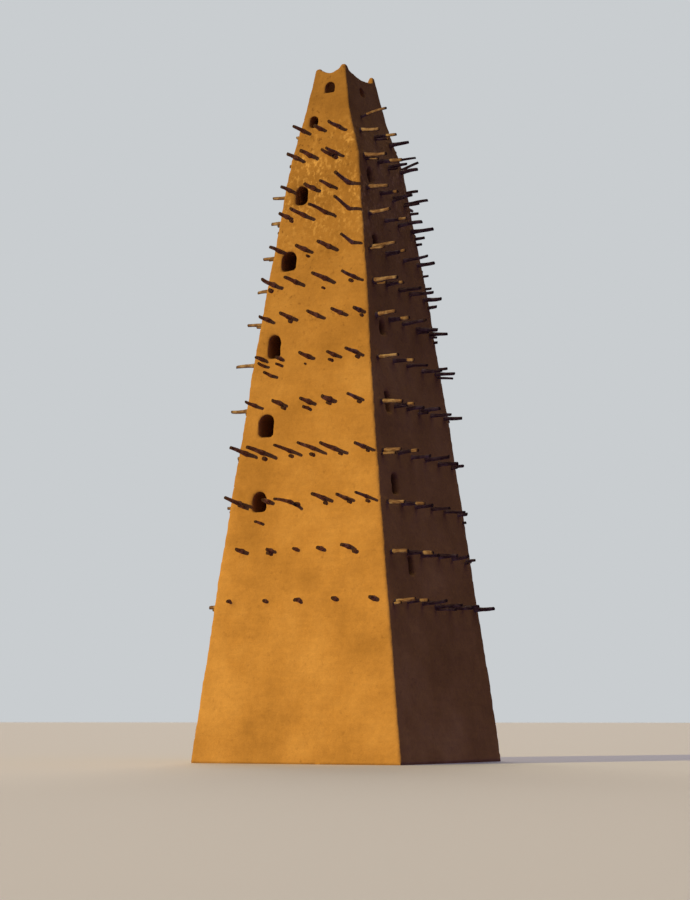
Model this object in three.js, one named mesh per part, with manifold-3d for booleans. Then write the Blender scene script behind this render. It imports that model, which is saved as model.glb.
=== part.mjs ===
// A tall mud-brick minaret of the Sahel: a hollow, tapering square tower whose walls are laced with
// courses of projecting palm-wood poles, lit by small arched windows and crowned with four corner horns.
// Millimetres, +Z up. The origin is the centre of the foot, at ground level. The front faces -Y.
import * as THREE from "three";
import { mergeVertices } from "three/addons/utils/BufferGeometryUtils.js";
import Module from "manifold-3d";

const wasm = await Module();
wasm.setup();

// Driving dimensions
const HEIGHT = 27200; // to the tip of the tallest horn
const FOOT_WALL = 1500; // wall thickness at the ground
const HEAD_WALL = 450; // wall thickness under the terrace
const PARAPET_WALL = 280;
const SHAFT_TOP = 25300; // the ledge that carries the terrace
const SHOULDER = 26950; // where the corner horns stand on the parapet
const GAP = 0.3; // between pieces that touch
const WALL_END_GAP = GAP / Math.SQRT2; // taken off a wall's end, along the wall, at a mitred corner

// The tower's outline at the heights where its taper changes: z, half its width across the front, half its
// width across the side, and how far its middle leans to the right. The top leans a little to the left.
const PROFILE = [
  [0, 4450, 4350, 0],
  [12500, 2880, 3340, 0],
  [18500, 2150, 2620, 0],
  [23300, 1490, 1990, 0],
  [SHAFT_TOP, 960, 1650, -65],
  [HEIGHT, 620, 1260, -120],
];

// The shaft is raised in four lifts, each ending half-way between two courses of poles.
const LIFTS = [
  ["foot", 0, 6910],
  ["lower", 6910, 12050],
  ["middle", 12050, 18440],
  ["upper", 18440, SHAFT_TOP],
];

// The four faces, each seen from outside: "along" runs to the viewer's right and "out" towards the viewer.
const FACES = [
  { name: "front", along: [1, 0], out: [0, -1] },
  { name: "right", along: [0, 1], out: [1, 0] },
  { name: "back", along: [-1, 0], out: [0, 1] },
  { name: "left", along: [0, -1], out: [-1, 0] },
];

// Courses of projecting poles, lowest first. "front" gives each pole of the front face as its place along
// the face, from 0 at the left corner to 1, how far it stands out and how many degrees it rises.
const COURSES = [
  {
    z: 5950,
    front: [[0.1, 260, 2], [0.3, 200, 1], [0.5, 320, 0], [0.7, 240, 3], [0.92, 380, 2]],
  },
  {
    z: 7830,
    front: [[0.13, 530, 5], [0.31, 400, 4], [0.47, 270, 4], [0.62, 360, 3], [0.79, 620, 5]],
  },
  {
    z: 9680,
    front: [
      [0.07, 1120, 6],
      [0.27, 480, 5],
      [0.41, 1200, 0],
      [0.64, 880, 7],
      [0.78, 770, 5],
      [0.91, 940, 5],
    ],
  },
  {
    z: 11590,
    front: [
      [0.07, 1110, 6],
      [0.18, 1250, 4],
      [0.38, 1160, 5],
      [0.56, 1190, 6],
      [0.7, 1160, 4],
      [0.91, 840, 3],
    ],
  },
  {
    z: 13480,
    front: [[0.07, 740, 3], [0.27, 630, 3], [0.5, 660, 3], [0.67, 610, 5], [0.88, 730, 4]],
  },
  {
    z: 15230,
    front: [[0.08, 520, 5], [0.24, 350, 3], [0.48, 660, 5], [0.69, 610, 2], [0.88, 770, 4]],
  },
  {
    z: 16840,
    front: [[0.07, 680, 2], [0.28, 790, 4], [0.53, 760, 3], [0.75, 700, 4], [0.93, 510, 5]],
  },
  {
    z: 18230,
    front: [[0.07, 930, 3], [0.3, 910, 3], [0.6, 1010, 4], [0.88, 930, 3]],
  },
  {
    z: 19550,
    front: [[0.07, 830, 2], [0.35, 740, 1], [0.61, 880, 2], [0.88, 880, 11]],
  },
  {
    z: 20940,
    front: [[0.09, 580, 3], [0.3, 1060, 2], [0.56, 1200, 4], [0.85, 1200, 11]],
  },
  {
    z: 22010,
    front: [[0.07, 650, 2], [0.37, 690, 1], [0.6, 760, 3], [0.84, 1040, 10]],
  },
  {
    z: 23320,
    front: [[0.08, 780, 0], [0.3, 820, 3], [0.58, 710, 1], [0.67, 800, 2]],
  },
  {
    z: 24420,
    front: [[0.08, 810, 1], [0.41, 540, 1], [0.73, 810, 1]],
  },
];
// The last pole at the far end of two faces, course by course, and its reach: on the left face it stands next
// to the front corner, and on the right face next to the back one.
const LAST_POLE_REACH = {
  right: [870, 450, 430, 530, 810, 830, 760, 800, 800, 950, 1000, 800, 850],
  left: [500, 230, 360, 220, 940, 940, 900, 760, 760, 720, 850, 360, 360],
};
const POLE_SPACING = 1180; // on the other three faces
const POLE_INSET = 480; // from a corner to its first pole
const POLE_OUT = 920;
// One pole on each face is dead straight and level, and the others stop short of it by the margin below, so
// that opposite faces reach equally far.
const LONGEST_POLES = {
  front: { level: 2, reach: 1200 },
  back: { level: 2, reach: 1200 },
  right: { level: 0, reach: 1160 },
  left: { level: 0, reach: 1160 },
};
const SHORT_OF_LONGEST = 40;
const POLE_RADIUS = 74;
// How much the hand-laid poles vary, as shares of their length, reach or radius; "shift" is along the face.
const FRONT_ASIDE = 0.06;
const OTHERS_ASIDE = 0.09;
const OTHERS_SHIFT = 90;
const OTHERS_REACH = 0.2;
const OTHERS_RISE = { mean: 0.02, eitherWay: 0.07 };
const THICKER_OR_THINNER = 0.14;
const LACING_HALF = 80; // half the side of the squared trunks that a course's poles are bedded in
const LACING_DEPTH = 0.35; // how deep they lie, as a share of the wall's thickness
const BEDDED = 60; // front and back poles lie this much above the trunks' middle, and side poles below it
const POLE_SIDES = 6;
// A lone pole stands out of the right face between the last course and the terrace. Its place is measured
// from the front corner, its height is where it leaves the wall, and it rises by so many degrees.
const LONE_POLE = { z: 25060, behindCorner: 930, reach: 1110, bed: 300, rise: 11, radius: 60 };

// Windows, each by its height at mid-opening, its distance from the face's left corner, its width and height.
const WINDOWS = {
  front: [
    [9800, 1260, 590, 780],
    [12730, 1020, 590, 840],
    [15830, 800, 550, 940],
    [19200, 770, 640, 780],
    [21830, 770, 540, 780],
    [24820, 500, 380, 510],
  ],
  right: [
    [7340, 2130, 460, 720],
    [10370, 1300, 560, 800],
    [13500, 1180, 500, 860],
    [16400, 1100, 500, 540],
    [19860, 990, 450, 480],
    [22550, 880, 480, 600],
  ],
  back: [
    [10610, 1270, 500, 700],
    [14340, 1180, 500, 700],
    [17480, 1000, 500, 700],
    [20200, 800, 480, 700],
    [22610, 700, 460, 640],
  ],
  left: [
    [8780, 1400, 500, 700],
    [12550, 1200, 500, 700],
    [16000, 1100, 500, 700],
    [18850, 950, 480, 660],
    [21430, 800, 460, 640],
    [23790, 700, 420, 600],
  ],
};
const LOOKOUTS = {
  front: [26220, 30, 430, 470],
  right: [26220, -190, 360, 360],
  back: [26220, 0, 430, 470],
  left: [26190, 0, 360, 360],
};
const LACING_CLEAR = 60; // mud left between a window and the cut end of a lacing trunk

const DOOR = { width: 1000, height: 2000, lintelPast: 350, poleRadius: 85, setBack: 40 };
const FLOOR_THICKNESS = 120;
const DOOR_LINTEL_PITCH = 1.6; // from one lintel pole to the next, in pole radii
const TERRACE = { joist: 60, joistSpacing: 430, deck: 150, bearing: 120, hatchLong: 640, hatchWide: 580 };
const HATCH_RIM = 60; // deck left between the hatch and the right parapet
const PARAPET_SAG = { front: 120, right: 170, back: 120, left: 170 };
const HORN = { foot: 320, tip: 200 };
const HORN_TOPS = { front_left: 27040, front_right: 27110, back_right: HEIGHT, back_left: 27110 };

// Materials
const mud = new THREE.MeshStandardMaterial({ color: 0xbf7f36, roughness: 0.95, metalness: 0 });
const earthFloor = new THREE.MeshStandardMaterial({ color: 0xa8753c, roughness: 1, metalness: 0 });
const palmWood = new THREE.MeshStandardMaterial({ color: 0x5a4230, roughness: 0.9, metalness: 0 });

// The tower's half widths and lean at a height.
function halfWidths(z) {
  const above = PROFILE.findIndex(([top]) => z <= top);
  const i = above < 0 ? PROFILE.length - 1 : Math.max(above, 1);
  const [z1, x1, y1, lean1] = PROFILE[i];
  const [z0, x0, y0, lean0] = PROFILE[i - 1];
  const share = (z - z0) / (z1 - z0);
  return {
    x: x0 + (x1 - x0) * share,
    y: y0 + (y1 - y0) * share,
    lean: lean0 + (lean1 - lean0) * share,
  };
}

function shaftWall(z) {
  return FOOT_WALL + (HEAD_WALL - FOOT_WALL) * (z / SHAFT_TOP);
}

// Half the length of a face at a height, and how far it stands from the tower's axis.
function faceSize(face, z) {
  const half = halfWidths(z);
  return face.out[0] === 0 ? { half: half.x, out: half.y } : { half: half.y, out: half.x };
}

function facePoint(face, along, out, z) {
  return new THREE.Vector3(
    face.along[0] * along + face.out[0] * out + halfWidths(z).lean,
    face.along[1] * along + face.out[1] * out,
    z,
  );
}

// The same small irregularity each time, from -1 to 1, for pole number "key".
function wobble(key) {
  const s = Math.sin(key * 12.9898 + 4.1414) * 43758.5453;
  return 2 * (s - Math.floor(s)) - 1;
}

// Solids

// A three.js geometry as a closed solid that can be joined and cut.
function solid(geometry) {
  const bare = geometry.index ? geometry.toNonIndexed() : geometry.clone();
  bare.deleteAttribute("normal");
  bare.deleteAttribute("uv");
  const merged = mergeVertices(bare, 1e-3);
  const mesh = new wasm.Mesh({
    numProp: 3,
    vertProperties: new Float32Array(merged.attributes.position.array),
    triVerts: new Uint32Array(merged.index.array),
  });
  return new wasm.Manifold(mesh);
}

// A closed solid through rings of points that lie one above the other, each given anticlockwise from above.
function loft(rings) {
  const count = rings[0].length;
  const positions = rings.flat().flatMap((p) => [p.x, p.y, p.z]);
  const index = [];
  for (let ring = 0; ring + 1 < rings.length; ring++) {
    for (let i = 0; i < count; i++) {
      const a = ring * count + i;
      const b = ring * count + ((i + 1) % count);
      index.push(a, b, b + count, a, b + count, a + count);
    }
  }
  const top = (rings.length - 1) * count;
  for (let i = 1; i + 1 < count; i++) {
    index.push(0, i + 1, i);
    index.push(top, top + i, top + i + 1);
  }
  const geometry = new THREE.BufferGeometry();
  geometry.setAttribute("position", new THREE.Float32BufferAttribute(positions, 3));
  geometry.setIndex(index);
  return solid(geometry);
}

// A level rectangle round a point, anticlockwise from above. It leans with the tower unless told otherwise.
function rectangle(halfX, halfY, z, x = halfWidths(z).lean, y = 0) {
  return [
    new THREE.Vector3(x - halfX, y - halfY, z),
    new THREE.Vector3(x + halfX, y - halfY, z),
    new THREE.Vector3(x + halfX, y + halfY, z),
    new THREE.Vector3(x - halfX, y + halfY, z),
  ];
}

// A straight bar between two points, with the given outline across it.
function bar(from, to, outline) {
  const run = new THREE.Vector3().subVectors(to, from);
  const length = run.length();
  const turn = new THREE.Quaternion().setFromUnitVectors(new THREE.Vector3(0, 0, 1), run.normalize());
  const ends = [0, length].map((z) =>
    outline.map(([x, y]) => new THREE.Vector3(x, y, z).applyQuaternion(turn).add(from)),
  );
  return loft(ends);
}

function pole(from, to, radius) {
  const outline = Array.from({ length: POLE_SIDES }, (_, i) => {
    const angle = (2 * Math.PI * (i + 0.5)) / POLE_SIDES;
    return [radius * Math.cos(angle), radius * Math.sin(angle)];
  });
  return bar(from, to, outline);
}

function union(solids) {
  return solids.reduce((sum, each) => sum.add(each));
}

// A straight prism through a wall, with a flat or a round-arched head, drawn as seen from outside.
function wallCutter(face, { centre, sill, width, height, arched, near, far }) {
  const outline = new THREE.Shape();
  const rise = arched ? width / 2 : 0;
  outline.moveTo(-width / 2, 0);
  outline.lineTo(width / 2, 0);
  outline.lineTo(width / 2, height - rise);
  if (arched) outline.absarc(0, height - rise, width / 2, 0, Math.PI, false);
  else outline.lineTo(-width / 2, height);
  const geometry = new THREE.ExtrudeGeometry(outline, {
    depth: far - near,
    bevelEnabled: false,
    curveSegments: 6,
  });
  const along = new THREE.Vector3(face.along[0], face.along[1], 0);
  const out = new THREE.Vector3(face.out[0], face.out[1], 0);
  const frame = new THREE.Matrix4().makeBasis(along, new THREE.Vector3(0, 0, 1), out);
  frame.setPosition(facePoint(face, centre, near, sill));
  return solid(geometry.applyMatrix4(frame));
}

function windowCutter(face, [z, fromLeft, width, height], grow = 0) {
  const { half, out } = faceSize(face, z);
  return wallCutter(face, {
    centre: fromLeft - half,
    sill: z - height / 2 - grow,
    width: width + 2 * grow,
    height: height + 2 * grow,
    arched: true,
    near: out - 2 * shaftWall(z),
    far: out + shaftWall(z),
  });
}

// One wall between two heights, mitred at both corners.
function wallPanel(face, bottom, top, thickness) {
  const bends = PROFILE.map(([z]) => z).filter((z) => z > bottom && z < top);
  const rings = [bottom, ...bends, top - GAP].map((z) => {
    const { half, out } = faceSize(face, z);
    const t = thickness(z);
    const end = half - WALL_END_GAP;
    return [
      facePoint(face, -end, out, z),
      facePoint(face, end, out, z),
      facePoint(face, end - t, out - t, z),
      facePoint(face, t - end, out - t, z),
    ];
  });
  return loft(rings);
}

// Timber courses

// A course's poles on one face: where each is bedded, how far it stands out, and how it strays.
function polesOn(face, course, level) {
  const { half } = faceSize(face, course.z);
  const key = (i) => level * 100 + FACES.indexOf(face) * 20 + i;
  if (face.name === "front") {
    return course.front.map(([share, reach, rise], i) => ({
      along: (2 * share - 1) * half,
      reach,
      aside: FRONT_ASIDE * wobble(key(i)),
      rise: Math.tan(THREE.MathUtils.degToRad(rise)),
      radius: POLE_RADIUS * (1 + THICKER_OR_THINNER * wobble(key(i) + 13)),
    }));
  }
  const firstToLast = 2 * (half - POLE_INSET);
  const spaces = Math.round(firstToLast / POLE_SPACING);
  const given = (i) => (i === spaces ? LAST_POLE_REACH[face.name]?.[level] : undefined);
  return Array.from({ length: spaces + 1 }, (_, i) => ({
    along: -firstToLast / 2 + (firstToLast * i) / spaces + OTHERS_SHIFT * wobble(key(i) + 3),
    reach: given(i) ?? POLE_OUT * (1 + OTHERS_REACH * wobble(key(i) + 5)),
    aside: OTHERS_ASIDE * wobble(key(i)),
    rise: OTHERS_RISE.mean + OTHERS_RISE.eitherWay * wobble(key(i) + 7),
    radius: POLE_RADIUS * (1 + THICKER_OR_THINNER * wobble(key(i) + 13)),
  }));
}

function evenedOut(poles, face, level) {
  const longest = LONGEST_POLES[face.name];
  const line = faceSize(face, COURSES[longest.level].z).out + longest.reach;
  const most = line - SHORT_OF_LONGEST - faceSize(face, COURSES[level].z).out;
  const middle = Math.floor((poles.length - 1) / 2);
  return poles.map((each, i) =>
    level === longest.level && i === middle
      ? { ...each, reach: longest.reach, aside: 0, rise: 0 }
      : { ...each, reach: Math.min(each.reach, most) },
  );
}

// One whole course: a frame of squared trunks buried in the walls, and the poles bedded in it.
function timberCourse(level, grow = 0) {
  const course = COURSES[level];
  const depth = LACING_DEPTH * shaftWall(course.z);
  const half = halfWidths(course.z);
  const side = LACING_HALF + grow;
  const [outer, inner] = [side, -side].map((past) =>
    loft(
      [course.z - side, course.z + side].map((z) =>
        rectangle(half.x - depth + past, half.y - depth + past, z),
      ),
    ),
  );
  const members = [outer.subtract(inner)];
  for (const face of FACES) {
    const bed = faceSize(face, course.z).out - depth;
    const bedZ = course.z + (face.out[0] === 0 ? BEDDED : -BEDDED);
    for (const each of evenedOut(polesOn(face, course, level), face, level)) {
      const length = depth + each.reach;
      members.push(
        pole(
          facePoint(face, each.along, bed - grow, bedZ),
          facePoint(face, each.along + length * each.aside, bed + length, bedZ + length * each.rise),
          each.radius + grow,
        ),
      );
    }
  }
  let made = union(members);
  for (const face of FACES) {
    for (const opening of WINDOWS[face.name]) {
      const reach = opening[3] / 2 + LACING_HALF;
      if (Math.abs(opening[0] - course.z) > reach) continue;
      made = made.subtract(windowCutter(face, opening, LACING_CLEAR - grow));
    }
  }
  return made;
}

function lonePole(grow = 0) {
  const { z, behindCorner, reach, bed, rise, radius } = LONE_POLE;
  const face = FACES[1];
  const { half, out } = faceSize(face, z);
  const slope = Math.tan(THREE.MathUtils.degToRad(rise));
  return pole(
    facePoint(face, behindCorner - half, out - bed - grow, z - bed * slope),
    facePoint(face, behindCorner - half, out + reach, z + reach * slope),
    radius + grow,
  );
}

// The object
const tower = new THREE.Group();

function addPiece(name, made, material) {
  const { vertProperties, triVerts } = made.getMesh();
  const geometry = new THREE.BufferGeometry();
  geometry.setAttribute("position", new THREE.BufferAttribute(vertProperties, 3));
  geometry.setIndex(new THREE.BufferAttribute(triVerts, 1));
  geometry.computeVertexNormals();
  const mesh = new THREE.Mesh(geometry, material);
  mesh.name = name;
  tower.add(mesh);
}

// The poles are made first, because the walls are raised around them.
const beds = COURSES.map((course, level) => ({ z: course.z, solid: timberCourse(level, GAP) }));
COURSES.forEach((course, level) => {
  addPiece(`toron_course_${String(level + 1).padStart(2, "0")}`, timberCourse(level), palmWood);
});
beds.push({ z: LONE_POLE.z, solid: lonePole(GAP) });
addPiece("lone_toron_right", lonePole(), palmWood);

// The doorway is in the back wall, under a lintel of poles laid side by side from one face to the other.
const doorFace = FACES[2];
const lintelHalfHeight = DOOR.poleRadius * Math.cos(Math.PI / POLE_SIDES);
const lintelTop = DOOR.height + 2 * lintelHalfHeight + 2 * GAP;
const doorOut = faceSize(doorFace, lintelTop).out;
const lintelEnd = DOOR.width / 2 + DOOR.lintelPast;

function doorLintel() {
  const pitch = DOOR.poleRadius * DOOR_LINTEL_PITCH;
  const count = Math.floor((shaftWall(DOOR.height) - 2 * DOOR.poleRadius - 2 * DOOR.setBack) / pitch);
  const level = DOOR.height + GAP + lintelHalfHeight;
  return union(
    Array.from({ length: count + 1 }, (_, i) => {
      const depth = doorOut - DOOR.setBack - DOOR.poleRadius - i * pitch;
      return pole(
        facePoint(doorFace, -lintelEnd, depth, level),
        facePoint(doorFace, lintelEnd, depth, level),
        DOOR.poleRadius,
      );
    }),
  );
}

// The back wall's foot is raised beside the doorway first, then the lintel is bedded, then the rest is raised.
function wallBesideDoor(side) {
  const past = 2 * halfWidths(0).x;
  const lintelBed = wallCutter(doorFace, {
    centre: 0,
    sill: DOOR.height,
    width: 2 * (lintelEnd + GAP),
    height: DOOR.height,
    arched: false,
    near: 0,
    far: past,
  });
  const otherSide = wallCutter(doorFace, {
    centre: side * (DOOR.width / 2 - past / 2),
    sill: -DOOR.height,
    width: past,
    height: 3 * DOOR.height,
    arched: false,
    near: 0,
    far: past,
  });
  return wallPanel(doorFace, 0, lintelTop, shaftWall).subtract(otherSide).subtract(lintelBed);
}

// The shaft's walls
function withOpenings(wall, face, bottom, top) {
  let made = wall;
  for (const opening of WINDOWS[face.name]) {
    if (opening[0] > bottom && opening[0] < top) made = made.subtract(windowCutter(face, opening));
  }
  for (const bed of beds) {
    if (bed.z > bottom && bed.z < top) made = made.subtract(bed.solid);
  }
  return made;
}

for (const [lift, bottom, top] of LIFTS) {
  for (const face of FACES) {
    if (face === doorFace && bottom === 0) continue;
    const wall = wallPanel(face, bottom, top, shaftWall);
    addPiece(`${face.name}_wall_${lift}`, withOpenings(wall, face, bottom, top), mud);
  }
}
const [, , footTop] = LIFTS[0];
const overDoor = wallPanel(doorFace, lintelTop, footTop, shaftWall);
addPiece("back_wall_over_door", withOpenings(overDoor, doorFace, lintelTop, footTop), mud);
addPiece("back_wall_left_of_door", wallBesideDoor(-1), mud);
addPiece("back_wall_right_of_door", wallBesideDoor(1), mud);
addPiece("door_lintel", doorLintel(), palmWood);

// The beaten-earth floor fills the foot of the hollow.
const footHalf = halfWidths(0);
const floorTopHalf = halfWidths(FLOOR_THICKNESS);
const floorTopWall = shaftWall(FLOOR_THICKNESS);
const floorX = Math.min(footHalf.x - FOOT_WALL, floorTopHalf.x - floorTopWall) - GAP;
const floorY = Math.min(footHalf.y - FOOT_WALL, floorTopHalf.y - floorTopWall) - GAP;
addPiece(
  "ground_floor",
  loft([rectangle(floorX, floorY, 0), rectangle(floorX, floorY, FLOOR_THICKNESS)]),
  earthFloor,
);

// The terrace: poles across the head of the shaft, tied by one lengthwise pole, under a deck of earth.
const headHalf = halfWidths(SHAFT_TOP);
const joistEnd = headHalf.x - HEAD_WALL + TERRACE.bearing;
const terraceEnd = headHalf.y - HEAD_WALL + TERRACE.bearing;
const joistLevel = SHAFT_TOP + GAP + TERRACE.joist;
const joistCount = Math.floor((2 * terraceEnd - TERRACE.hatchLong - TERRACE.joist) / TERRACE.joistSpacing);
const terraceX = headHalf.lean;
const joists = Array.from({ length: joistCount + 1 }, (_, i) => {
  const y = terraceEnd - TERRACE.joist - i * TERRACE.joistSpacing;
  return pole(
    new THREE.Vector3(terraceX - joistEnd, y, joistLevel),
    new THREE.Vector3(terraceX + joistEnd, y, joistLevel),
    TERRACE.joist,
  );
});
const tieX = terraceX - joistEnd + TERRACE.bearing + TERRACE.joist * 2;
joists.push(
  pole(
    new THREE.Vector3(tieX, -terraceEnd, joistLevel),
    new THREE.Vector3(tieX, terraceEnd, joistLevel),
    TERRACE.joist,
  ),
);
addPiece("terrace_joists", union(joists), palmWood);

const deckBottom = joistLevel + TERRACE.joist + GAP;
const deckTop = deckBottom + TERRACE.deck;
const deckHalf = halfWidths(deckTop);
const deckX = deckHalf.x - PARAPET_WALL - GAP;
const deckY = deckHalf.y - PARAPET_WALL - GAP;
const hatchX = terraceX + deckX - HATCH_RIM - TERRACE.hatchWide / 2;
const hatchY = -(terraceEnd - TERRACE.bearing - TERRACE.hatchLong / 2);
const hatch = loft(
  [deckBottom - TERRACE.deck, deckTop + TERRACE.deck].map((z) =>
    rectangle(TERRACE.hatchWide / 2, TERRACE.hatchLong / 2, z, hatchX, hatchY),
  ),
);
const deck = loft([rectangle(deckX, deckY, deckBottom), rectangle(deckX, deckY, deckTop)]);
addPiece("terrace_deck", deck.subtract(hatch), earthFloor);

// The parapet: a thin wall on each side with a lookout through it, its top sagging between the horns.
for (const face of FACES) {
  const { half, out } = faceSize(face, SHOULDER);
  const sag = PARAPET_SAG[face.name];
  const span = half - HORN.foot;
  const radius = (span * span + sag * sag) / (2 * sag);
  const dip = new THREE.CylinderGeometry(radius, radius, 4 * PARAPET_WALL, 64);
  dip.rotateZ(face.out[0] === 0 ? 0 : Math.PI / 2);
  const middle = facePoint(face, 0, out - PARAPET_WALL / 2, SHOULDER);
  dip.translate(middle.x, middle.y, middle.z - sag + radius);
  const [z, centre, width, height] = LOOKOUTS[face.name];
  const lookout = wallCutter(face, {
    centre,
    sill: z - height / 2,
    width,
    height,
    arched: true,
    near: out - 2 * PARAPET_WALL,
    far: out + 3 * PARAPET_WALL,
  });
  const wall = wallPanel(face, SHAFT_TOP, SHOULDER, () => PARAPET_WALL);
  addPiece(`parapet_${face.name}`, wall.subtract(solid(dip)).subtract(lookout), mud);
}

// The corner horns: blunt pinnacles that carry each corner's batter up to the top.
for (const [name, sideX, sideY] of [
  ["front_left", -1, -1],
  ["front_right", 1, -1],
  ["back_right", 1, 1],
  ["back_left", -1, 1],
]) {
  const top = HORN_TOPS[name];
  const rings = [
    [SHOULDER, HORN.foot],
    [top, HORN.tip],
  ].map(([z, side]) => {
    const half = halfWidths(z);
    return rectangle(
      side / 2,
      side / 2,
      z,
      half.lean + sideX * (half.x - side / 2),
      sideY * (half.y - side / 2),
    );
  });
  addPiece(`corner_horn_${name}`, loft(rings), mud);
}

export default tower;
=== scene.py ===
# %% [markdown]
# # A mud-brick minaret
#
# This lesson dresses a tall tower of sun-dried mud brick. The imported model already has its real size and
# all of its pieces. Here the flat walls become hand-smoothed mud, and the straight poles become palm
# trunks. Everything is in metres, +Z is up, and the front of the tower faces -Y.

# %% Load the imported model
import math
import random

import bmesh
import bpy
import numpy as np
from mathutils import Matrix, Vector, noise


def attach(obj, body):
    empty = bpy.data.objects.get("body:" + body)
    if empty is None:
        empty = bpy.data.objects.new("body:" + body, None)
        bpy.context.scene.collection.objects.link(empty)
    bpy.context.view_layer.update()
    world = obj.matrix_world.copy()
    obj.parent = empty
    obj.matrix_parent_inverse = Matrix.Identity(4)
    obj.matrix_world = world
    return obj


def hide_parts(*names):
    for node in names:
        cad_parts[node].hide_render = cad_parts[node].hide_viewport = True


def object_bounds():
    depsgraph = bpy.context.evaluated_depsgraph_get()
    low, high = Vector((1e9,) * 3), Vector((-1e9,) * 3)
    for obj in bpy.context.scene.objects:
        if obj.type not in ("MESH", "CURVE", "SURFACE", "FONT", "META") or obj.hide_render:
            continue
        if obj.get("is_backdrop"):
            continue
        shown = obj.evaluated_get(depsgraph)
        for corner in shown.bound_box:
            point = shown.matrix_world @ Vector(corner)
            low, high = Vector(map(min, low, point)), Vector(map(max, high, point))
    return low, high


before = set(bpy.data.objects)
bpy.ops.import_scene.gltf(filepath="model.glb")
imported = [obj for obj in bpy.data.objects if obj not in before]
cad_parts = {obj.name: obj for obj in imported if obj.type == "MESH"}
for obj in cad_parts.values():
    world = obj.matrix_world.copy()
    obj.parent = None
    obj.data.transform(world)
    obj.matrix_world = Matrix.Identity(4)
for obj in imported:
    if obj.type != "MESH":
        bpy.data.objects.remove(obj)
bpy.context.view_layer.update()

# %% [markdown]
# ## The sizes that everything follows
#
# A tower like this has no straight lines on paper: it was raised by eye, lift by lift. A few half widths at
# a few heights are enough to describe it, and every other shape is worked out from them. They are the same
# values as the model's own, so that each dressed piece lies exactly on the piece that it stands for.

# %% The tower's outline
HEIGHT = 27.2
SHAFT_TOP = 25.3
SHOULDER = 26.95
FOOT_WALL = 1.5
HEAD_WALL = 0.45
PARAPET_WALL = 0.28
# Height, half the width across the front, half the width across the side, and how far the middle leans.
PROFILE = [
    (0.0, 4.45, 4.35, 0.0),
    (12.5, 2.88, 3.34, 0.0),
    (18.5, 2.15, 2.62, 0.0),
    (23.3, 1.49, 1.99, 0.0),
    (SHAFT_TOP, 0.96, 1.65, -0.065),
    (HEIGHT, 0.62, 1.26, -0.12),
]


def outline(z):
    """The tower's half widths and its lean at a height."""
    heights, *columns = zip(*PROFILE)
    return [float(np.interp(z, heights, column)) for column in columns]


def shaft_wall(z):
    """How thick the shaft's wall is at a height."""
    return FOOT_WALL + (HEAD_WALL - FOOT_WALL) * z / SHAFT_TOP


print("half widths and lean at the parapet:", [round(v, 2) for v in outline(26.2)])

# %% The four faces
# "along" runs to the right as seen from outside, and "out" points away from the wall.
FACES = {
    "front": (Vector((1, 0, 0)), Vector((0, -1, 0))),
    "right": (Vector((0, 1, 0)), Vector((1, 0, 0))),
    "back": (Vector((-1, 0, 0)), Vector((0, 1, 0))),
    "left": (Vector((0, -1, 0)), Vector((-1, 0, 0))),
}


def face_size(face, z):
    """Half the length of a face at a height, and how far it stands from the tower's axis."""
    half_x, half_y, _ = outline(z)
    return (half_x, half_y) if face in ("front", "back") else (half_y, half_x)


def face_point(face, along, out, z):
    """The point that far along a face from its middle and that far out from the tower's axis."""
    toward, outward = FACES[face]
    return toward * along + outward * out + Vector((outline(z)[2], 0, z))


print("the front's left foot:", face_point("front", -face_size("front", 0)[0], face_size("front", 0)[1], 0))

# %% [markdown]
# ## Materials
#
# Colours are written as the sRGB hex values that a painter would pick by eye, and one function turns them
# into the linear values that the renderer works in. One small function adds a node, sets it and links it,
# so that each material below reads as a list of what gives the real surface its look.

# %% Helpers for all materials
def colour(hex_code):
    """A hex colour as seen on a screen, turned to the linear light of the renderer."""
    channels = [int(hex_code[i : i + 2], 16) / 255 for i in (1, 3, 5)]
    return [c / 12.92 if c <= 0.04045 else ((c + 0.055) / 1.055) ** 2.4 for c in channels] + [1.0]


def node(tree, kind, inputs=None, **settings):
    """Adds one node, sets it, and fills or links its inputs."""
    made = tree.nodes.new(kind)
    for name, value in settings.items():
        setattr(made, name, value)
    for name, value in (inputs or {}).items():
        if isinstance(value, bpy.types.NodeSocket):
            tree.links.new(value, made.inputs[name])
        else:
            made.inputs[name].default_value = value
    return made


def new_material(name):
    made = bpy.data.materials.new(name)
    made.use_nodes = True
    made.node_tree.nodes.clear()
    return made, made.node_tree


print("middle grey in linear light:", [round(c, 3) for c in colour("#808080")])

# %% [markdown]
# ### Sun-dried mud plaster
#
# The skin is clay, sand and chopped straw, thrown on by the handful and smoothed with the palm. The hand
# leaves soft lumps about 15 cm across, the grit shows as grains of a centimetre or so, and the bricks behind
# print through as faint level bands. Wind and rain scour the top hardest, and there pits show where pebbles
# fell out. The earth is also drawn darker towards the top, and pale upright flecks lie on it there. Pits and
# flecks keep to patches a metre or so across. Deep in the windows, in the doorway and on the walls of the
# hollow, the mud is drawn darker as painted shade: each point of the skin carries an "inside" value that
# grows from 0 to 1 with its depth. Earth has no gloss at all, so its roughness is close to 1 and its IOR is
# that of dry clay. Object coordinates are in metres here, so a noise scale of 1 / 0.15 m gives lumps of the
# real size.
# Grit finer than 3 cm would be lost at this distance, so it is drawn at 3 cm.

# %% The patterns of the mud
BROAD_TONE = 2.6  # the size of the slow changes of tone from one day's work to the next
PATCH = 1.1
LUMP = 0.15
GRIT = 0.03
PIT = 0.17
BRICK_COURSE, BAND_RUN = 0.16, 1.3  # a brick's height, and how far a band runs before it changes
FLECK = (0.15, 0.15, 0.20)


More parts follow.
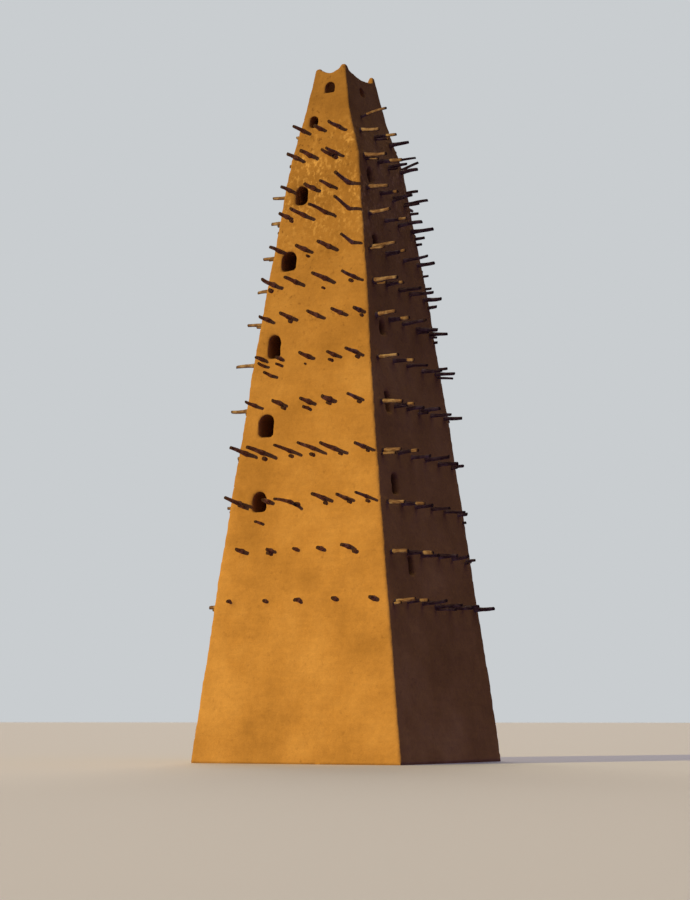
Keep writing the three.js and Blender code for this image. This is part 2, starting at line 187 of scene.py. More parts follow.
def mud_patterns(tree, place):
    """The noises that the mud's tone and relief are made of, by name."""
    band = (BAND_RUN, BAND_RUN, BRICK_COURSE)
    level = node(tree, "ShaderNodeMapping", {"Vector": place, "Scale": [1 / size for size in band]})
    upright = node(tree, "ShaderNodeMapping", {"Vector": place, "Scale": [1 / size for size in FLECK]})
    noises = {}
    for kind, where, scale, detail in [
        ("broad", place, 1 / BROAD_TONE, 6),
        ("patches", place, 1 / PATCH, 3),
        ("lumps", place, 1 / LUMP, 3),
        ("grit", place, 1 / GRIT, 2),
        ("pits", place, 1 / PIT, 5),
        ("flecks", upright.outputs["Vector"], 1, 2),
        ("bands", level.outputs["Vector"], 1, 2),
    ]:
        inputs = {"Vector": where, "Scale": scale, "Detail": detail, "Roughness": 0.6}
        noises[kind] = node(tree, "ShaderNodeTexNoise", inputs).outputs["Fac"]
    return noises


print("lumps of", LUMP, "m, grit of", GRIT, "m and brick courses of", BRICK_COURSE, "m")

# %% The tone of the mud
DARKER_FROM, DARKER_TO = 7.0, 26.5  # the heights between which the skin grows darker towards the top
TONE_STOPS = (0.34, 0.50, 0.68)  # where in the broad noise the dark, the middle and the light earth stand


def shaded_earth(tree, up, noises, tones, tone_at_top):
    """The earth's colour. Height, painted shade at depth and each pattern make it a little darker or lighter.
    """
    tone = node(tree, "ShaderNodeValToRGB", {"Fac": noises["broad"]})
    tone.color_ramp.elements.new(0.5)
    for stop, position, hex_code in zip(tone.color_ramp.elements, TONE_STOPS, tones):
        stop.position = position
        stop.color = colour(hex_code)
    shade = 1.0
    # A row gives what is read, between which two values, and the shade at each of them.
    # The "inside" row is painted shade: it darkens the mud deep in the openings and on the hollow's walls.
    for value, start, end, low, high in [
        (up, DARKER_FROM, DARKER_TO, 1.0, tone_at_top),
        (node(tree, "ShaderNodeAttribute", attribute_name="inside").outputs["Fac"], 0.0, 1.0, 1.0, 0.55),
        (noises["lumps"], 0.3, 0.7, 0.95, 1.05),
        (noises["grit"], 0.3, 0.7, 0.91, 1.09),
        (noises["bands"], 0.3, 0.7, 0.965, 1.035),
    ]:
        ranged = node(tree, "ShaderNodeMapRange", {"Value": value, "From Min": start, "From Max": end,
                                                   "To Min": low, "To Max": high})
        product = node(tree, "ShaderNodeMath", {0: ranged.outputs["Result"], 1: shade}, operation="MULTIPLY")
        shade = product.outputs["Value"]
    skin = node(tree, "ShaderNodeVectorMath", {0: tone.outputs["Color"], "Scale": shade}, operation="SCALE")
    return skin.outputs["Vector"]


print("the mud grows darker from", DARKER_FROM, "m up")

# %% Pits and flecks
# Both lie where their own noise is strongest, within its patches, and mostly near the top. A row gives the
# range of its own noise, the range of the patches, the heights between which it grows, what is left of it
# below them, the height where it is gone, and its colour.
MARKS = {
    "pits": (0.58, 0.72, 0.4, 0.6, 13.0, 24.0, 0.3, 40.0, "#7A5226"),
    "flecks": (0.50, 0.70, 0.66, 0.42, 18.5, 21.5, 0.0, 25.0, "#D2A561"),
}


def marked(tree, skin, up, noises):
    """The earth's colour with the marks on it, and how much there is of each mark."""
    marks = {}
    for kind, row in MARKS.items():
        start, end, patch_from, patch_to, rise_from, rise_to, least, gone_at, hex_code = row
        amount = 1.0
        for value, value_from, value_to, to_min in [
            (noises[kind], start, end, 0.0),
            (noises["patches"], patch_from, patch_to, 0.0),
            (up, rise_from, rise_to, least),
            (up, gone_at, gone_at - 1.0, 0.0),
        ]:
            ranged = node(tree, "ShaderNodeMapRange", {"Value": value, "From Min": value_from,
                                                       "From Max": value_to, "To Min": to_min})
            factors = {0: ranged.outputs["Result"], 1: amount}
            amount = node(tree, "ShaderNodeMath", factors, operation="MULTIPLY").outputs["Value"]
        marks[kind] = amount
        inputs = {"Factor": amount, 6: skin, 7: colour(hex_code)}
        skin = node(tree, "ShaderNodeMix", inputs, data_type="RGBA").outputs[2]
    return skin, marks


print("marks on the mud:", list(MARKS))

# %% Make the mud plaster
RELIEF = {"lumps": 0.018, "grit": 0.006, "bands": 0.010, "pits": -0.025, "flecks": 0.012}


def mud_plaster(name, tones, tone_at_top):
    """A mud material from three tones, dark to light, and how much darker it is drawn at the top."""
    material, tree = new_material(name)
    place = node(tree, "ShaderNodeTexCoord").outputs["Object"]
    up = node(tree, "ShaderNodeSeparateXYZ", {"Vector": place}).outputs["Z"]
    noises = mud_patterns(tree, place)
    skin, marks = marked(tree, shaded_earth(tree, up, noises, tones, tone_at_top), up, noises)
    height = 0.0
    for kind, metres in RELIEF.items():
        rise = {0: marks.get(kind, noises[kind]), 1: metres, 2: height}
        height = node(tree, "ShaderNodeMath", rise, operation="MULTIPLY_ADD").outputs["Value"]
    bump = node(tree, "ShaderNodeBump", {"Height": height, "Strength": 0.8, "Distance": 1.0})
    earth = {"Base Color": skin, "Normal": bump.outputs["Normal"], "Roughness": 0.96, "IOR": 1.4,
             "Specular IOR Level": 0.2}
    shader = node(tree, "ShaderNodeBsdfPrincipled", earth)
    node(tree, "ShaderNodeOutputMaterial", {"Surface": shader.outputs["BSDF"]})
    return material


wall_mud = mud_plaster("sun_dried_mud_plaster", ("#AB7C3C", "#BC8A46", "#CA9852"), 0.66)
floor_earth = mud_plaster("beaten_earth", ("#8E6334", "#A5763F", "#B98A50"), 0.8)
print("made", wall_mud.name, "and", floor_earth.name)

# %% [markdown]
# ### Weathered palm wood
#
# The poles are split or whole palm trunks, never planed. Their fibres run lengthwise a few millimetres
# apart, and years of sun have turned them from brown to a dry grey brown. Their cut ends soak up rain and
# go nearly black. Each pole's mesh carries its own "grain" coordinates, in metres across and along the
# trunk, so that the fibres follow a pole wherever it points, and a "cut" value that is 1 at the cut end.
# Fibres of 4 mm would be lost from the ground, so they are drawn about 15 mm apart.

# %% Make the palm wood
FIBRE = 0.015
FIBRE_RUN = 0.35
DUST_PATCH = 0.3
FIBRE_STOPS = (0.38, 0.68)  # where in the fibres' noise the dark and the light wood stand


def palm_wood(name, dark, light, dust, end):
    material, tree = new_material(name)
    grain = node(tree, "ShaderNodeAttribute", attribute_name="grain").outputs["Vector"]
    fibre = (1 / FIBRE, 1 / FIBRE, 1 / FIBRE_RUN)
    stretched = node(tree, "ShaderNodeMapping", {"Vector": grain, "Scale": fibre}).outputs["Vector"]
    fibres = node(tree, "ShaderNodeTexNoise", {"Vector": stretched, "Scale": 1, "Detail": 4}).outputs["Fac"]
    patches = node(tree, "ShaderNodeTexNoise", {"Vector": grain, "Scale": 1 / DUST_PATCH, "Detail": 3})
    wood = node(tree, "ShaderNodeValToRGB", {"Fac": fibres})
    for stop, position, hex_code in zip(wood.color_ramp.elements, FIBRE_STOPS, (dark, light)):
        stop.position = position
        stop.color = colour(hex_code)
    dusty = node(tree, "ShaderNodeMapRange", {"Value": patches.outputs["Fac"], "From Min": 0.48,
                                              "From Max": 0.7, "To Min": 0.0, "To Max": 0.55})
    cut = node(tree, "ShaderNodeAttribute", attribute_name="cut")
    finish = wood.outputs["Color"]
    for share, hex_code in [(dusty.outputs["Result"], dust), (cut.outputs["Fac"], end)]:
        inputs = {"Factor": share, 6: finish, 7: colour(hex_code)}
        finish = node(tree, "ShaderNodeMix", inputs, data_type="RGBA").outputs[2]
    bump = node(tree, "ShaderNodeBump", {"Height": fibres, "Strength": 0.7, "Distance": 0.012})
    dry = {"Base Color": finish, "Normal": bump.outputs["Normal"], "Roughness": 0.85, "IOR": 1.45,
           "Specular IOR Level": 0.3}
    shader = node(tree, "ShaderNodeBsdfPrincipled", dry)
    node(tree, "ShaderNodeOutputMaterial", {"Surface": shader.outputs["BSDF"]})
    return material


pole_wood = palm_wood("weathered_palm_wood", "#4A2A18", "#A48462", "#CAB088", "#3C2416")
print("made", pole_wood.name)

# %% [markdown]
# ## The mud shell
#
# The real tower is one mass of brick under a coat of mud, so it has no seams at all, and its corners are
# rounded by hand and rain. It could be built from flat panels with bevels, but the windows and horns would
# still look cut with a saw. Instead one closed solid is made from the tower's sizes, the hollow, windows
# and doorway are cut out of it, and a voxel remesh turns it into an even skin of small faces. That melts
# every edge by a hand's width, and it gives the skin enough points to be pushed in and out like real
# plaster.

# %% A solid through rings of points
def placed(name, data):
    """An object in the scene that holds the given mesh, light or camera."""
    made = bpy.data.objects.new(name, data)
    bpy.context.scene.collection.objects.link(made)
    return made


def loft(name, rings):
    """A closed solid through rings of points that lie one above the other."""
    mesh = bpy.data.meshes.new(name)
    count = len(rings[0])
    faces = [tuple(reversed(range(count))), tuple(range((len(rings) - 1) * count, len(rings) * count))]
    for level in range(len(rings) - 1):
        for i in range(count):
            j = (i + 1) % count
            a, b = level * count, (level + 1) * count
            faces.append((a + i, a + j, b + j, b + i))
    mesh.from_pydata([tuple(p) for ring in rings for p in ring], [], faces)
    return placed(name, mesh)


def rounded_rectangle(half_x, half_y, z, radius, middle_x, middle_y=0.0, steps=3):
    """A ring with soft corners, anticlockwise from above."""
    ring = []
    for corner, (side_x, side_y) in enumerate([(1, -1), (1, 1), (-1, 1), (-1, -1)]):
        for step in range(steps + 1):
            angle = math.radians(-90 + 90 * corner + 90 * step / steps)
            x = middle_x + side_x * (half_x - radius) + radius * math.cos(angle)
            y = middle_y + side_y * (half_y - radius) + radius * math.sin(angle)
            ring.append(Vector((x, y, z)))
    return ring


def tower_ring(z, inset, radius):
    """The tower's outline at a height, taken in by a wall's thickness."""
    half_x, half_y, lean = outline(z)
    return rounded_rectangle(half_x - inset, half_y - inset, z, radius, lean)


CORNER_RADIUS = 0.07
body_levels = [z for z, *_ in PROFILE[:-1]] + [SHOULDER]
body = loft("tower_body", [tower_ring(z, 0, CORNER_RADIUS) for z in body_levels])
print("the body has", len(body.data.polygons), "faces before anything is cut from it")

# %% The hollow
INNER_RADIUS = 0.05
LEDGE = 0.01  # the hollow steps out to the parapet's thin walls within this much of height
PAST = 0.3  # how far a cutting shape runs past what it cuts
hollow_rings = [tower_ring(z, shaft_wall(z), INNER_RADIUS) for z in body_levels[:-1]]
hollow_rings[0] = [p - Vector((0, 0, PAST)) for p in hollow_rings[0]]
hollow_rings.append(tower_ring(SHAFT_TOP + LEDGE, PARAPET_WALL, INNER_RADIUS))
hollow_rings.append([p + Vector((0, 0, PAST)) for p in tower_ring(SHOULDER, PARAPET_WALL, INNER_RADIUS)])
hollow = loft("hollow", hollow_rings)
print("the hollow is", round(2 * (outline(0)[0] - FOOT_WALL), 2), "m wide at the ground")

# %% [markdown]
# ### Windows, lookouts and the doorway
#
# Each window is a small round-arched hole straight through the wall. Each is given by its height at
# mid-opening, its distance from the face's left corner, its width and its height. The doorway is a plain
# rectangle, because its head is a flat lintel of poles. The mud is cut away round the lower half of those
# poles, and along the foremost one, so that they show as they do on a real doorway.

# %% Where the openings are
WINDOWS = {
    "front": [
        (9.80, 1.26, 0.59, 0.78), (12.73, 1.02, 0.59, 0.84), (15.83, 0.80, 0.55, 0.94),
        (19.20, 0.77, 0.64, 0.78), (21.83, 0.77, 0.54, 0.78), (24.82, 0.50, 0.38, 0.51),
    ],
    "right": [
        (7.34, 2.13, 0.46, 0.72), (10.37, 1.30, 0.56, 0.80), (13.50, 1.18, 0.50, 0.86),
        (16.40, 1.10, 0.50, 0.54), (19.86, 0.99, 0.45, 0.48), (22.55, 0.88, 0.48, 0.60),
    ],
    "back": [
        (10.61, 1.27, 0.50, 0.70), (14.34, 1.18, 0.50, 0.70), (17.48, 1.00, 0.50, 0.70),
        (20.20, 0.80, 0.48, 0.70), (22.61, 0.70, 0.46, 0.64),
    ],
    "left": [
        (8.78, 1.40, 0.50, 0.70), (12.55, 1.20, 0.50, 0.70), (16.00, 1.10, 0.50, 0.70),
        (18.85, 0.95, 0.48, 0.66), (21.43, 0.80, 0.46, 0.64), (23.79, 0.70, 0.42, 0.60),
    ],
}
# The lookouts through the parapet are given from the middle of their face instead.
LOOKOUTS = {
    "front": (26.22, 0.03, 0.43, 0.47),
    "right": (26.22, -0.19, 0.36, 0.36),
    "back": (26.22, 0.0, 0.43, 0.47),
    "left": (26.19, 0.0, 0.36, 0.36),
}
DOOR_WIDTH, DOOR_HEIGHT = 1.0, 2.0
# The lintel's poles: their radius, how far they run past the doorway, and how far back from the wall's face.
DOOR_POLE, DOOR_PAST, DOOR_SET_BACK = 0.085, 0.35, 0.04
ARCH_STEPS = 8


def opening_outline(width, height, arched):
    """The outline of an opening, from its sill up, as pairs of along and up."""
    if not arched:
        return [(-width / 2, 0), (width / 2, 0), (width / 2, height), (-width / 2, height)]
    spring = height - width / 2
    turns = np.linspace(0, math.pi, ARCH_STEPS)
    arch = [(width / 2 * math.cos(a), spring + width / 2 * math.sin(a)) for a in turns]
    return [(-width / 2, 0), (width / 2, 0)] + arch


def through_wall(name, face, centre, sill, shape, near, far):
    """A prism of that shape from near to far, measured outwards from the tower's axis."""
    rings = [[face_point(face, centre + x, depth, sill + z) for x, z in shape] for depth in (near, far)]
    return loft(name, rings)


cutters = []
for face, openings in WINDOWS.items():
    for z, from_left, width, height in openings:
        half, out = face_size(face, z)
        shape = opening_outline(width, height, True)
        near, far = out - shaft_wall(z) - PAST, out + PAST
        cutters.append(through_wall("window", face, from_left - half, z - height / 2, shape, near, far))
for face, (z, centre, width, height) in LOOKOUTS.items():
    out = face_size(face, z)[1]
    shape = opening_outline(width, height, True)
    near, far = out - PARAPET_WALL - PAST, out + PAST
    cutters.append(through_wall("lookout", face, centre, z - height / 2, shape, near, far))

out = face_size("back", DOOR_HEIGHT / 2)[1]
shape = opening_outline(DOOR_WIDTH, DOOR_HEIGHT + PAST + DOOR_POLE, False)
near, far = out - FOOT_WALL - PAST, out + PAST
cutters.append(through_wall("doorway", "back", 0, -PAST, shape, near, far))

out = face_size("back", DOOR_HEIGHT + DOOR_POLE)[1]
shape = opening_outline(DOOR_WIDTH + 2 * DOOR_PAST, 2 * DOOR_POLE, False)
near, far = out - DOOR_SET_BACK - DOOR_POLE, out + PAST
lintel_recess = through_wall("lintel_recess", "back", 0, DOOR_HEIGHT, shape, near, far)
print("cutting", len(cutters), "openings")

# %% [markdown]
# ### The crown
#
# Between the corner horns the parapet sags in a shallow curve. A cylinder laid across the tower scoops both
# opposite walls at once, and its radius follows from how wide and how deep the sag is. The horns themselves
# are blunt pinnacles of slightly different heights. Each is set a hand's width into the parapet, and the
# remesh below melts the two together, as wet mud would.

# %% Scoop the parapet and raise the horns
HORN_FOOT, HORN_TIP = 0.32, 0.20
HORN_SET_IN, HORN_ROUNDED, HORN_SPARE = 0.15, 0.04, 0.02  # the remesh melts the spare height away
HORN_CAP_SHARE, HORN_CORNER_SHARE = 0.6, 0.25  # a cap's width against the tip, a corner against a side
SAG_FRONT, SAG_SIDE = 0.12, 0.17
SCOOP_HALF_LENGTH, SCOOP_SIDES = 4, 96
HORN_TOPS = {(-1, -1): 27.04, (1, -1): 27.11, (1, 1): HEIGHT, (-1, 1): 27.11}


def scoop(name, span, sag, turned):
    radius = (span * span + sag * sag) / (2 * sag)
    middle = SHOULDER - sag + radius
    ring = [
        Vector((radius * math.cos(a), 0, middle + radius * math.sin(a)))
        for a in np.linspace(0, 2 * math.pi, SCOOP_SIDES, endpoint=False)
    ]
    turn = Matrix.Rotation(math.radians(90 if turned else 0), 3, "Z")
    lean = Vector((outline(SHOULDER)[2], 0, 0))
    ends = (SCOOP_HALF_LENGTH, -SCOOP_HALF_LENGTH)
    return loft(name, [[turn @ (p + Vector((0, y, 0))) + lean for p in ring] for y in ends])


def horn(side_x, side_y, top):
    rings = []
    for z, side in [
        (SHOULDER - HORN_SET_IN, HORN_FOOT),
        (SHOULDER, HORN_FOOT),
        (top - HORN_ROUNDED, HORN_TIP),
        (top + HORN_SPARE, HORN_TIP * HORN_CAP_SHARE),
    ]:
        half_x, half_y, lean = outline(min(z, top))
        middle_x = lean + side_x * (half_x - max(side, HORN_TIP) / 2)
        middle_y = side_y * (half_y - max(side, HORN_TIP) / 2)
        rings.append(rounded_rectangle(side / 2, side / 2, z, side * HORN_CORNER_SHARE, middle_x, middle_y))
    return loft("horn", rings)


shoulder_x, shoulder_y, _ = outline(SHOULDER)
scoops = [
    scoop("front_and_back_scoop", shoulder_x - HORN_FOOT, SAG_FRONT, False),
    scoop("side_scoop", shoulder_y - HORN_FOOT, SAG_SIDE, True),
]
horns = [horn(*corner, top) for corner, top in HORN_TOPS.items()]
print("the horns stand up to", round(HEIGHT - SHOULDER, 2), "m above the parapet")


# %% Cut everything out of the body
def join_meshes(name, objects):
    """One object with all the given meshes, which are used up."""
    joined = bmesh.new()
    for each in objects:
        joined.from_mesh(each.data)
        bpy.data.objects.remove(each)
    bmesh.ops.recalc_face_normals(joined, faces=joined.faces)
    mesh = bpy.data.meshes.new(name)
    joined.to_mesh(mesh)
    joined.free()
    return placed(name, mesh)


def finished_mesh(each):
    """An object's mesh with its modifiers applied."""
    return bpy.data.meshes.new_from_object(each.evaluated_get(bpy.context.evaluated_depsgraph_get()))


def boolean(target, tool, operation):
    cut = target.modifiers.new(tool.name, "BOOLEAN")
    cut.object = tool
    cut.operation = operation
    cut.solver = "EXACT"


all_openings = join_meshes("all_openings", cutters)
for tool in [hollow, all_openings, lintel_recess, *scoops]:
    boolean(body, tool, "DIFFERENCE")
carved = placed("carved", finished_mesh(body))
for used in [body, hollow, all_openings, lintel_recess, *scoops]:
    bpy.data.objects.remove(used)
print("the carved body has", len(carved.data.polygons), "faces")

# %% [markdown]
# ## Where the poles stand
#
# Every metre and a half or so a course of palm poles runs right round the tower. They are scaffold, ladder
# and drain at once, and they are the tower's most telling detail. The front's poles are placed one by one,
# as seen: share of the face's width, reach, and rise in degrees. The others follow a spacing with a small
# irregularity that is the same each time. The values are those of the model, and so each dressed pole lies
# on its plain one.

# %% The courses
COURSES = [
    (5.95, [(0.10, 0.26, 2), (0.30, 0.20, 1), (0.50, 0.32, 0), (0.70, 0.24, 3), (0.92, 0.38, 2)]),
    (7.83, [(0.13, 0.53, 5), (0.31, 0.40, 4), (0.47, 0.27, 4), (0.62, 0.36, 3), (0.79, 0.62, 5)]),
    (9.68, [(0.07, 1.12, 6), (0.27, 0.48, 5), (0.41, 1.2, 0), (0.64, 0.88, 7), (0.78, 0.77, 5),
            (0.91, 0.94, 5)]),
    (11.59, [(0.07, 1.11, 6), (0.18, 1.25, 4), (0.38, 1.16, 5), (0.56, 1.19, 6), (0.7, 1.16, 4),
             (0.91, 0.84, 3)]),
    (13.48, [(0.07, 0.74, 3), (0.27, 0.63, 3), (0.50, 0.66, 3), (0.67, 0.61, 5), (0.88, 0.73, 4)]),
    (15.23, [(0.08, 0.52, 5), (0.24, 0.35, 3), (0.48, 0.66, 5), (0.69, 0.61, 2), (0.88, 0.77, 4)]),
    (16.84, [(0.07, 0.68, 2), (0.28, 0.79, 4), (0.53, 0.76, 3), (0.75, 0.70, 4), (0.93, 0.51, 5)]),
    (18.23, [(0.07, 0.93, 3), (0.30, 0.91, 3), (0.60, 1.01, 4), (0.88, 0.93, 3)]),
    (19.55, [(0.07, 0.83, 2), (0.35, 0.74, 1), (0.61, 0.88, 2), (0.88, 0.88, 11)]),
    (20.94, [(0.09, 0.58, 3), (0.30, 1.06, 2), (0.56, 1.20, 4), (0.85, 1.20, 11)]),
    (22.01, [(0.07, 0.65, 2), (0.37, 0.69, 1), (0.60, 0.76, 3), (0.84, 1.04, 10)]),
    (23.32, [(0.08, 0.78, 0), (0.30, 0.82, 3), (0.58, 0.71, 1), (0.67, 0.80, 2)]),
    (24.42, [(0.08, 0.81, 1), (0.41, 0.54, 1), (0.73, 0.81, 1)]),
]
# The reach of the last pole of each course on two faces: next to the front corner on the left face, and next
# to the back corner on the right face.
LAST_POLE_REACH = {
    "right": [0.87, 0.45, 0.43, 0.53, 0.81, 0.83, 0.76, 0.80, 0.80, 0.95, 1.00, 0.80, 0.85],
    "left": [0.50, 0.23, 0.36, 0.22, 0.94, 0.94, 0.90, 0.76, 0.76, 0.72, 0.85, 0.36, 0.36],
}
# Elsewhere than on the front: spacing, distance from the corners, reach, radius and rise.
POLE_SPACING, POLE_INSET, POLE_OUT, POLE_RADIUS, POLE_RISE = 1.18, 0.48, 0.92, 0.074, 0.02
# How much the poles differ: sideways on the front and elsewhere, in place, in reach, in rise and in radius.
FRONT_STRAY, STRAY, SHIFT, REACH_SHARE, RISE_SPREAD, RADIUS_SHARE = 0.06, 0.09, 0.09, 0.2, 0.07, 0.14
LACING_DEPTH = 0.35  # how deep a pole starts, as a share of the wall's thickness
BEDDED = 0.06  # front and back poles lie this much above their course's middle, and side poles below it
# One dead straight and level pole on each face: its course and its reach. The others stop short of it.
LONGEST_POLES = {"front": (2, 1.2), "back": (2, 1.2), "right": (0, 1.16), "left": (0, 1.16)}
SHORT_OF_LONGEST = 0.04
print("courses of poles:", len(COURSES))


# %% Where each pole lies
def wobble(key):
    """The same small irregularity each time, from -1 to 1."""
    s = math.sin(key * 12.9898 + 4.1414) * 43758.5453
    return 2 * (s - math.floor(s)) - 1


def poles_on(face, level):
    """Each pole of a course on a face: its key, place along the face, reach, stray, rise and radius."""
    z, front = COURSES[level]
    half, out = face_size(face, z)
    first_key = level * 100 + list(FACES).index(face) * 20
    found = []
    if face == "front":
        for i, (share, reach, degrees) in enumerate(front):
            key = first_key + i
            rise = math.tan(math.radians(degrees))
            found.append([key, (2 * share - 1) * half, reach, FRONT_STRAY * wobble(key), rise])
    else:
        first_to_last = 2 * (half - POLE_INSET)
        spaces = int(first_to_last / POLE_SPACING + 0.5)
        for i in range(spaces + 1):
            key = first_key + i
            along = -first_to_last / 2 + first_to_last * i / spaces + SHIFT * wobble(key + 3)
            reach = POLE_OUT * (1 + REACH_SHARE * wobble(key + 5))
            if face in LAST_POLE_REACH and i == spaces:
                reach = LAST_POLE_REACH[face][level]
            rise = POLE_RISE + RISE_SPREAD * wobble(key + 7)
            found.append([key, along, reach, STRAY * wobble(key), rise])
    longest_level, longest = LONGEST_POLES[face]
    most = face_size(face, COURSES[longest_level][0])[1] + longest - SHORT_OF_LONGEST - out
    for i, pole in enumerate(found):
        if level == longest_level and i == (len(found) - 1) // 2:
            pole[2:] = [longest, 0.0, 0.0]
        else:
            pole[2] = min(pole[2], most)
        pole.append(POLE_RADIUS * (1 + RADIUS_SHARE * wobble(pole[0] + 13)))
    return found


def pole_line(face, z, along, reach, aside, rise, depth):
    """The two ends of a pole whose root lies that deep in the wall and whose tip stands out by its reach."""
    out = face_size(face, z)[1]
    full = LACING_DEPTH * shaft_wall(z)
    direction = face_point(face, aside, 1, rise) - face_point(face, 0, 0, 0)
    bed = face_point(face, along, out - full, z)
    return bed + direction * (full - depth), bed + direction * (full + reach)


def bedded(face, level):
    """The height at which a course's poles lie on a face."""
    return COURSES[level][0] + (BEDDED if face in ("front", "back") else -BEDDED)


print("poles in all:", sum(len(poles_on(face, level)) for face in FACES for level in range(len(COURSES))))

# %% [markdown]
# ### A skin of small faces
#
# Where a pole leaves the wall, the mason presses a collar of fresh mud round it. Each collar is a small
# lump set into the wall before the remesh, which melts it in. The shaft is remeshed at 7 cm and the crown
# at 3 cm, because the horns are thin. Then each point is pushed along its normal by noise of two sizes: a
# slow one, a few metres across, that makes the walls belly like hand-built ones, and one the size of a
# handful of mud. The noise depends only on the point's place, so the crown and the shaft still meet where
# one ends and the other begins.

# %% Collars of mud round the poles
COLLAR = (0.15, 0.07, 0.12)  # half its width, how far it stands out, half its height
COLLAR_SIDES = 10
# The rings of a collar, from inside the wall outwards: share of how far it stands out, share of its width.
COLLAR_RINGS = [(-1.0, 0.6), (-0.4, 1.0), (0.3, 0.9), (0.8, 0.55), (1.0, 0.2)]


def collar(face, z, along):
    rings = []
    for out_share, wide_share in COLLAR_RINGS:
        out = face_size(face, z)[1] + COLLAR[1] * out_share
        rings.append([
            face_point(face, along + COLLAR[0] * wide_share * math.cos(a), out, z)
            + Vector((0, 0, COLLAR[2] * wide_share * math.sin(a)))
            for a in np.linspace(0, 2 * math.pi, COLLAR_SIDES, endpoint=False)
        ])
    return loft("collar", rings)


collars = [
    collar(face, bedded(face, level), along)
    for level in range(len(COURSES))
    for face in FACES
    for _, along, *_ in poles_on(face, level)
]
print("made", len(collars), "collars")

# %% Take out a part and give it an even skin
SKIN = 0.07
CROWN_SKIN = 0.03
SLAB_HALF, SLAB_CORNER = 8.0, 0.5  # a slab wider than the tower keeps what lies between two heights


def part_between(source, low, high, more):
    """A closed part of the carved tower between two heights, with more lumps joined to it."""
    holder = placed("holder", source.data.copy())
    limits = loft("limits", [rounded_rectangle(SLAB_HALF, SLAB_HALF, z, SLAB_CORNER, 0) for z in (low, high)])
    boolean(holder, limits, "INTERSECT")
    cut = placed("cut", finished_mesh(holder))
    for used in (holder, limits):
        bpy.data.objects.remove(used)
    return join_meshes("part", [cut, *more])


def remeshed(holder, voxel):
    skin = holder.modifiers.new("skin", "REMESH")
    skin.mode = "VOXEL"
    skin.voxel_size = voxel
    even = holder.modifiers.new("even", "SMOOTH")
    even.factor = 0.5
    even.iterations = 2
    made = finished_mesh(holder)
    bpy.data.objects.remove(holder)
    return made


print("the shaft's skin has faces of", SKIN, "m, and the crown's has faces of", CROWN_SKIN, "m")

# %% Push the mud in and out
BELLY_RUN, BELLY_DEPTH = 2.8, 0.045
HANDFUL_RUN, HANDFUL_DEPTH = 0.55, 0.016
FOOT_HEIGHT = 0.06  # what ends up lower than this is pressed flat on the ground


def mud_push(point):
    """How far the mud stands out at a point, in metres."""
    belly = noise.fractal(point * (1 / BELLY_RUN), 1.0, 2.0, 2) * BELLY_DEPTH
    handfuls = noise.fractal(point * (1 / HANDFUL_RUN), 0.9, 2.0, 3) * HANDFUL_DEPTH
    return belly + handfuls


def roughened(mesh):
    """Pushes the mud in and out at each point of a mesh."""
    count = len(mesh.vertices)
    points = np.empty(count * 3, dtype=np.float32)
    normals = np.empty(count * 3, dtype=np.float32)
    mesh.vertices.foreach_get("co", points)
    mesh.vertex_normals.foreach_get("vector", normals)
    points, normals = points.reshape(-1, 3), normals.reshape(-1, 3)
    push = np.array([mud_push(Vector(p)) for p in points], dtype=np.float32)
    points = points + normals * push[:, None]
    points[points[:, 2] < FOOT_HEIGHT, 2] = 0.0
    mesh.vertices.foreach_set("co", points.ravel())
    mesh.update()
    return mesh


foot = face_point("front", 0, face_size("front", 0)[1], 0)
print("in the middle of the front's foot the mud is pushed by", round(mud_push(foot), 3), "m")

# %% Make the two skins
CROWN_FROM = 25.0
# Each part runs on past the line where the two skins meet, so that the remesh rounds off nothing there.
SHAFT_RUN_ON, CROWN_RUN_ON, CLEAR = 0.5, 0.3, 1.0
shaft_part = part_between(carved, -CLEAR, CROWN_FROM + SHAFT_RUN_ON, collars)
crown_part = part_between(carved, CROWN_FROM - CROWN_RUN_ON, HEIGHT + CLEAR, horns)
bpy.data.objects.remove(carved)
shaft_skin = roughened(remeshed(shaft_part, SKIN))
crown_skin = roughened(remeshed(crown_part, CROWN_SKIN))
print("before trimming the shaft has", len(shaft_skin.polygons), "faces, the crown", len(crown_skin.polygons))

# %% [markdown]
# ### Four lifts and a crown
#
# The model keeps its walls in four lifts, as the tower was raised, so the skin is divided at the same
# heights. Each lift keeps the normals of the whole skin along its edges, and so no seam shows between them.

# %% Cut a piece out of a skin
# How deep into an opening the painted shade starts, and where it is darkest.
SUN_REACH, DARK_DEPTH = 0.1, 0.35


def inside(point):
    """How far a point of the shaft lies inside the outer faces, from 0 to 1, which sets its painted shade."""
    half_x, half_y, lean = outline(point.z)
    depth = min(half_x - abs(point.x - lean), half_y - abs(point.y))
    return min(max((depth - SUN_REACH) / (DARK_DEPTH - SUN_REACH), 0.0), 1.0)


def piece_of(skin, name, low, high):
    """The part of a skin between two heights, open at both ends, with the whole skin's normals."""
    whole = bmesh.new()
    whole.from_mesh(skin)
    whole.normal_update()
    layer = whole.verts.layers.float_vector.new("whole_normal")
    for vert in whole.verts:
        vert[layer] = vert.normal
    for height, below in ((low, True), (high, False)):
        bmesh.ops.bisect_plane(
            whole,
            geom=whole.verts[:] + whole.edges[:] + whole.faces[:],
            plane_co=(0, 0, height),
            plane_no=(0, 0, 1),
            clear_inner=below,
            clear_outer=not below,
        )
    normals = [Vector(vert[layer]).normalized() for vert in whole.verts]
    whole.verts.layers.float_vector.remove(layer)
    mesh = bpy.data.meshes.new(name)
    whole.to_mesh(mesh)
    whole.free()
    mesh.shade_smooth()
    mesh.normals_split_custom_set_from_vertices(normals)
    # Painted shade: the mud deep in the openings and on the hollow's walls gets its darkening value here.
    if high < HEIGHT:
        depths = [inside(vert.co) for vert in mesh.vertices]
        mesh.attributes.new("inside", "FLOAT", "POINT").data.foreach_set("value", depths)
    mesh.materials.append(wall_mud)
    return placed(name, mesh)


print("the mud is darkest", DARK_DEPTH, "m inside a window")

